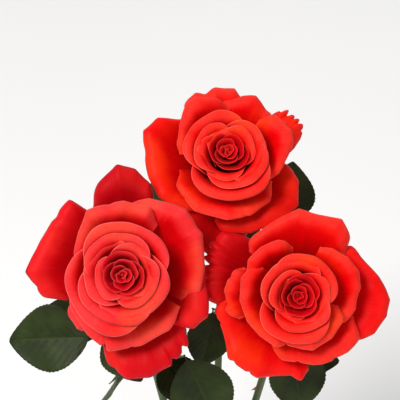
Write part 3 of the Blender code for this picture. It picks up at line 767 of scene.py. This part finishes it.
def sepal_shape(turn, seed):
    """A sepal that leaves the hip's collar and bends back down along the stem, narrowing to a thread."""
    chance = np.random.default_rng(seed)
    middle = 2 * math.pi * (turn + 0.5) / 5
    collar = HIP_RADIUS + SEAT_GAP + 0.0005
    bend = chance.uniform(38, 56)
    reach = SEPAL_LENGTH * chance.uniform(0.92, 1.02)

    def shape(across, along):
        share = np.linspace(0, 1, 41)
        angle = np.radians(60 + (44 + bend) * smooth(share / 0.9))
        out = collar * 0.99 + reach * np.concatenate([[0], np.cumsum(np.sin(angle[1:]))]) / 40
        up = -0.0050 + reach * np.concatenate([[0], np.cumsum(np.cos(angle[1:]))]) / 40
        radius = np.interp(along, share, out)
        height = np.interp(along, share, up)
        width = 0.0047 * (1 - along**1.5) * (1 - 0.10 * smooth((along - 0.3) / 0.1)) + 0.00035
        width = width * (1 + 0.25 * smooth(along / 0.15) * np.sin(along * 40 + turn) ** 8 * (along < 0.8))
        side = width * across
        radius = radius - 0.0010 * np.abs(across) ** 2 * (1 - along)
        radius = radius - side**2 / (2 * collar) * (1 - smooth(along * 4))
        x = radius * math.cos(middle) - side * math.sin(middle)
        y = radius * math.sin(middle) + side * math.cos(middle)
        return np.stack([x, y, height - 0.0003 * np.cos(across * 3.0)], axis=-1)

    return shape


def make_calyx(name, bloom, sepal_face, sepal_back, seed):
    matrix = bloom_matrix(bloom)
    pieces = []
    for turn in range(5):
        shape = sepal_shape(turn, seed + turn)
        grown = lambda a, b: placed(shape(a, b), matrix)
        pieces.append(add_sheet(f"sepal_{turn}", 10, 46, grown, SEPAL_THICKNESS, sepal_face, sepal_back))
    collar = HIP_RADIUS * 1.075
    angles = [math.radians(118 + 34 * share) for share in np.linspace(0, 1, 7)]
    points = [matrix @ Vector((0, 0, collar * math.cos(a))) for a in angles]
    radii = [collar * math.sin(a) for a in angles]
    pieces.append(add_tube("collar", points, radii, 6, sepal_back))
    seat(join(f"rose_{name}_leafy_calyx", pieces), "sepal", f"rose_{name}_calyx")


# ---- stems ----


def stem_path(name):
    """Points down the middle of a stem, from its cut end to its hip."""
    matrix = bloom_matrix(BLOOMS[name])
    hip, axis = matrix.translation, matrix.col[2].to_3d()
    room = VASE_NECK_RADIUS - VASE_WALL - STEM_RADIUS - 2 * SEAT_GAP
    foot = Vector((*[room * x for x in STEM_FEET[name]], VASE_FLOOR + SEAT_GAP))
    neck = Vector((*[room * x for x in STEM_LEANS[name]], VASE_HEIGHT - VASE_NECK_DROP))
    straight = (neck - foot).normalized()
    foot.z += STEM_RADIUS * STEM_FOOT_SWELL * math.hypot(straight.x, straight.y)
    reach = (hip - neck).length
    out, back = neck + straight * reach * 0.40, hip - axis * reach * 0.30
    lower = [foot.lerp(neck, k / 12) for k in range(12)]
    upper = []
    for k in range(41):
        t = k / 40
        upper.append(
            neck * (1 - t) ** 3 + out * 3 * t * (1 - t) ** 2 + back * 3 * t * t * (1 - t) + hip * t**3
        )
    return lower + upper


def point_along(path, distance):
    """The point this far along a path, and the path's direction there."""
    for a, b in zip(path, path[1:]):
        step = (b - a).length
        if distance <= step:
            return a.lerp(b, distance / step), (b - a).normalized()
        distance -= step
    return path[-1], (path[-1] - path[-2]).normalized()


def path_length(path):
    return sum((b - a).length for a, b in zip(path, path[1:]))


def add_thorn(place, out, down, finish):
    """A broad-based thorn hooked down the stem."""
    deselect_all()
    bpy.ops.mesh.primitive_cone_add(vertices=14, radius1=0.5, radius2=0.0, depth=1.0, end_fill_type="NGON")
    thorn = bpy.context.object
    bpy.ops.object.mode_set(mode="EDIT")
    bpy.ops.mesh.select_all(action="SELECT")
    bpy.ops.mesh.subdivide(number_cuts=4)
    bpy.ops.object.mode_set(mode="OBJECT")
    side = down.cross(out)
    for vert in thorn.data.vertices:
        rise = vert.co.z + 0.5
        narrow = 1 - 0.5 * rise
        vert.co = (
            place
            + out * (THORN_LENGTH * rise - 0.0006)
            + down * (vert.co.x * 0.0058 * narrow + 0.0024 * rise * rise)
            + side * (vert.co.y * 0.0024 * narrow)
        )
    thorn.data.materials.append(finish)
    bpy.ops.object.shade_smooth()
    return thorn


def make_stem(name, finish, thorn_finish, seed):
    """A stem from its cut end to its swollen hip, with nodes along it and thorns."""
    chance = np.random.default_rng(seed)
    path = stem_path(name)
    whole = path_length(path)
    matrix = bloom_matrix(BLOOMS[name])
    hip, axis = matrix.translation, matrix.col[2].to_3d()
    points, radii = [], []
    joints = [row[1] for row in LEAVES.values() if row[0] == name]
    for step in range(130):
        distance = (whole - 0.0138) * step / 129
        place, _ = point_along(path, distance)
        swell = sum(math.exp(-(((whole - distance - j) / 0.0035) ** 2)) for j in joints)
        points.append(place)
        rough = chance.uniform(-0.008, 0.008)
        radii.append(STEM_RADIUS * (STEM_FOOT_SWELL - 0.13 * step / 129 + 0.06 * swell + rough))
    for share in np.linspace(0.08, 1, 14):
        rise = -0.0120 + 0.0184 * share
        round_part = math.sqrt(max(0.0, 1 - (rise / HIP_RADIUS) ** 2)) if rise > -HIP_RADIUS else 0.0
        neck = STEM_RADIUS * 0.95
        taper = neck * (1 - smooth((rise + 0.0120) / 0.02))
        radius = max(taper, HIP_RADIUS * round_part, neck if rise < -0.005 else 0)
        points.append(hip + axis * rise)
        radii.append(float(radius) if share < 1 else 0.0015)
    pieces = [add_tube("stalk", points, radii, 5, finish)]
    distance = VASE_HEIGHT * 1.12
    while distance < whole - 0.05:
        place, along = point_along(path, distance)
        turn = chance.uniform(0, 2 * math.pi)
        first = along.orthogonal().normalized()
        out = first * math.cos(turn) + along.cross(first) * math.sin(turn)
        pieces.append(add_thorn(place + out * STEM_RADIUS, out, -along, thorn_finish))
        distance += chance.uniform(0.016, 0.034)
    seat(join(f"rose_{name}_thorny_stem", pieces), "stem", f"rose_{name}_stem")


# ---- leaves ----


def leaflet_shape(base, way, facing, length, seed):
    """A toothed oval blade on a short stalk, folded at the midrib, arched to its tip and wavy at its edge."""
    chance = np.random.default_rng(seed)
    way = way.normalized()
    side = facing.cross(way).normalized()
    up = way.cross(side)
    ripple, phase, twist = chance.uniform(7, 11), chance.uniform(0, 6), chance.uniform(-0.12, 0.12)
    teeth = round(length * 340)

    def shape(across, along):
        blade = np.clip((along - 0.07) / 0.93, 0, 1)
        outline = np.sin(np.pi * blade**0.85) ** 0.8
        tooth = (blade * teeth) % 1.0
        edge = np.abs(across) ** 6
        saw = 1 + 0.034 * edge * (tooth - 0.6)
        width = LEAF_BREADTH * length / 2 * outline * saw + RACHIS_RADIUS * 0.45
        inside = np.minimum(1.0, blade * 8)
        lift = np.abs(across) * width * 0.20 * inside + across * width * twist
        lift = lift + np.sin(along * ripple + phase + across) * np.abs(across) ** 2 * length * 0.022 * inside
        lift = lift - length * 0.16 * along**2
        quilt = np.abs(((blade - np.abs(across) * 0.31) * 9.0) % 1.0 - 0.5) * 2
        lift = lift + quilt * 0.00014 * outline * (1 - across**4) * inside
        spot = np.array(base) + (along * length)[..., None] * np.array(way)
        return spot + (width * across)[..., None] * np.array(side) + lift[..., None] * np.array(up)

    return shape


def make_leaf(name, seed, finishes, stem, down, end, way, facing, length, pairs):
    """A compound leaf: a rachis that leaves its stem, with leaflets along it."""
    top, under, stalk = finishes
    path = stem_path(stem)
    centre, direction = point_along(path, path_length(path) - down)
    end = bloom_matrix(BLOOMS[stem]).translation + Vector(end)
    way, facing = Vector(way).normalized(), Vector(facing).normalized()
    out = end - centre
    out = (out - direction * out.dot(direction)).normalized()
    start = centre + out * STEM_RADIUS * 0.6
    seat_start = centre + out * (STEM_RADIUS + SEAT_GAP + RACHIS_RADIUS / 2)
    reach = end - seat_start
    bend = seat_start.lerp(end, 0.5) + (out - reach.normalized()) * reach.length * 0.22

    def on_rachis(t):
        return start * (1 - t) ** 2 + bend * 2 * t * (1 - t) + end * t * t

    points = [on_rachis(k / 24) for k in range(25)]
    radii = [RACHIS_RADIUS * (1.0 - 0.35 * k / 24 + 0.9 * math.exp(-k / 1.6)) for k in range(25)]
    pieces = [add_tube("rachis", points, radii, 3, stalk)]
    blades = [(end - (end - bend).normalized() * RACHIS_RADIUS, way, length)]
    chord = reach.normalized()
    side = facing.cross(chord).normalized()
    for share in pairs:
        for sign in (-1, 1):
            blades.append((on_rachis(share + 0.02 * sign), side * sign * 0.84 + chord * 0.54, length * 0.74))
    for index, (base, blade_way, size) in enumerate(blades):
        shape = leaflet_shape(base, blade_way, facing, size, seed + index)
        pieces.append(add_sheet(f"leaflet_{index}", 22, 84, shape, LEAF_THICKNESS, top, under))
    seat(join(name.replace("leaf_", "leafy_spray_"), pieces), "leaf", name)


# ---- vase ----

VASE_INNER_CORNER = 0.008
VASE_SIDES = 112


def vase_radius(height):
    neck_height = VASE_HEIGHT - VASE_NECK_DROP
    if height < VASE_BELLY_HEIGHT:
        share = height / VASE_BELLY_HEIGHT
        return VASE_FOOT_RADIUS + (VASE_BELLY_RADIUS - VASE_FOOT_RADIUS) * math.sin(math.pi / 2 * share)
    if height < neck_height:
        share = (height - VASE_BELLY_HEIGHT) / (neck_height - VASE_BELLY_HEIGHT)
        return VASE_BELLY_RADIUS - (VASE_BELLY_RADIUS - VASE_NECK_RADIUS) * float(smooth(share))
    share = (height - neck_height) / VASE_NECK_DROP
    return VASE_NECK_RADIUS + (VASE_MOUTH_RADIUS - VASE_NECK_RADIUS) * share**1.6


def make_vase(finish):
    """The vase, pulled up ring by ring from its foot, over the lip and down inside."""
    half_wall = VASE_WALL / 2
    profile = [(VASE_FOOT_RADIUS - 0.0012, 0.0), (VASE_FOOT_RADIUS - 0.0002, 0.0010)]
    heights = [0.0030 + (VASE_HEIGHT - half_wall - 0.0030) * k / 44 for k in range(45)]
    profile += [(vase_radius(h), h) for h in heights]
    for k in range(1, 9):
        a = math.pi * k / 9
        turn = VASE_MOUTH_RADIUS - half_wall + half_wall * math.cos(a)
        profile.append((turn, VASE_HEIGHT - half_wall + half_wall * math.sin(a)))
    bottom = VASE_FLOOR + VASE_INNER_CORNER
    profile += [(vase_radius(h) - VASE_WALL, h) for h in reversed(heights) if h > bottom]
    corner = vase_radius(bottom) - VASE_WALL - VASE_INNER_CORNER
    for k in range(1, 7):
        a = math.pi / 2 * k / 6
        profile.append((corner + VASE_INNER_CORNER * math.cos(a), bottom - VASE_INNER_CORNER * math.sin(a)))
    deselect_all()
    bpy.ops.mesh.primitive_circle_add(vertices=VASE_SIDES, radius=profile[0][0], fill_type="NGON")
    vase = bpy.context.object
    bpy.ops.object.mode_set(mode="EDIT")
    bpy.ops.mesh.select_all(action="SELECT")
    for (radius, height), (after, rise) in zip(profile, profile[1:]):
        bpy.ops.mesh.extrude_region_move(TRANSFORM_OT_translate={"value": (0, 0, rise - height)})
        grow = after / radius
        bpy.ops.transform.resize(value=(grow, grow, 1), center_override=(0, 0, rise))
    bpy.ops.mesh.select_all(action="SELECT")
    bpy.ops.mesh.normals_make_consistent(inside=False)
    bpy.ops.object.mode_set(mode="OBJECT")
    bpy.ops.object.shade_smooth_by_angle(angle=math.radians(40))
    vase.name = vase.data.name = "glazed_vase"
    vase.data.materials.append(finish)
    seat(vase, "glaze", "vase")


# ---- stage ----

CAMERA_AIM = (-0.010, 0.0, 0.470)
CAMERA_RISE = math.radians(45)
CAMERA_DISTANCE = 1.0
CAMERA_LENS = 135


def add_area_light(name, place, aim, size, power, colour):
    deselect_all()
    bpy.ops.object.light_add(type="AREA", location=place)
    light = bpy.context.object
    light.name = name
    light.data.shape = "DISK"
    light.data.size = size
    light.data.energy = power
    light.data.color = colour
    light.rotation_euler = (Vector(aim) - Vector(place)).to_track_quat("-Z", "Y").to_euler()


def make_stage():
    """Pale floor, soft studio light and the camera, which looks down on the blooms from the front."""
    deselect_all()
    bpy.ops.mesh.primitive_plane_add(size=12, location=(0, 0, -0.0002))
    floor = bpy.context.object
    floor.name = "pale_floor"
    floor.data.materials.append(floor_paint())
    aim = Vector(CAMERA_AIM)
    add_area_light("key_light", (-0.9, -0.6, 2.1), aim, 0.9, 40, (1.0, 0.985, 0.96))
    add_area_light("front_light", (0.7, -1.9, 1.2), aim, 1.6, 11, (1.0, 1.0, 1.0))
    add_area_light("back_light", (0.8, 1.5, 1.4), aim, 1.2, 6, (1.0, 1.0, 1.0))
    world = bpy.data.worlds.new("studio")
    bpy.context.scene.world = world
    world.use_nodes = True
    world.node_tree.nodes["Background"].inputs["Color"].default_value = (1.0, 1.0, 1.0, 1.0)
    world.node_tree.nodes["Background"].inputs["Strength"].default_value = 0.40
    away = Vector((0, -math.cos(CAMERA_RISE), math.sin(CAMERA_RISE)))
    bpy.ops.object.camera_add(location=aim + away * CAMERA_DISTANCE)
    camera = bpy.context.object
    camera.rotation_euler = (-away).to_track_quat("-Z", "Y").to_euler()
    camera.data.lens = CAMERA_LENS
    bpy.context.scene.camera = camera
    bpy.context.scene.view_settings.view_transform = "Standard"


def main():
    make_stage()
    make_vase(glaze_paint())
    finishes = {}
    for bud, tones in PETAL_TONES.items():
        finishes[bud] = [petal_paint(f"{bud}_petal_{number}", *tone) for number, tone in enumerate(tones)]
    blends = {"left": finishes["coral"], "top": finishes["red"], "right": finishes["red"]}
    stem = stem_paint("rose_stem", (0.045, 0.088, 0.018), (0.12, 0.05, 0.022))
    thorn = stem_paint("thorn", (0.20, 0.07, 0.03), (0.28, 0.05, 0.03))
    sepal_face = leaf_paint("sepal_face", (0.13, 0.20, 0.07), (0.18, 0.26, 0.10), 0.5, 0.0003, 0.3)
    sepal_back = leaf_paint("sepal_back", (0.07, 0.14, 0.035), (0.12, 0.2, 0.06), 0.45, 0.0003, 0.4)
    leaf_top = leaf_paint("leaf_top", (0.022, 0.034, 0.007), (0.040, 0.055, 0.014), 0.42, 0.0005, 0.15)
    leaf_under = leaf_paint("leaf_underside", (0.075, 0.110, 0.040), (0.13, 0.17, 0.07), 0.6, 0.0005, 0.2)
    for number, (name, bloom) in enumerate(BLOOMS.items()):
        make_bloom(name, bloom, blends[name], 1000 * (number + 1))
        make_calyx(name, bloom, sepal_face, sepal_back, 50 + 10 * number)
        make_stem(name, stem, thorn, 70 + number)
    for number, (name, row) in enumerate(LEAVES.items()):
        make_leaf(name, 200 + 10 * number, (leaf_top, leaf_under, stem), *row)


main()
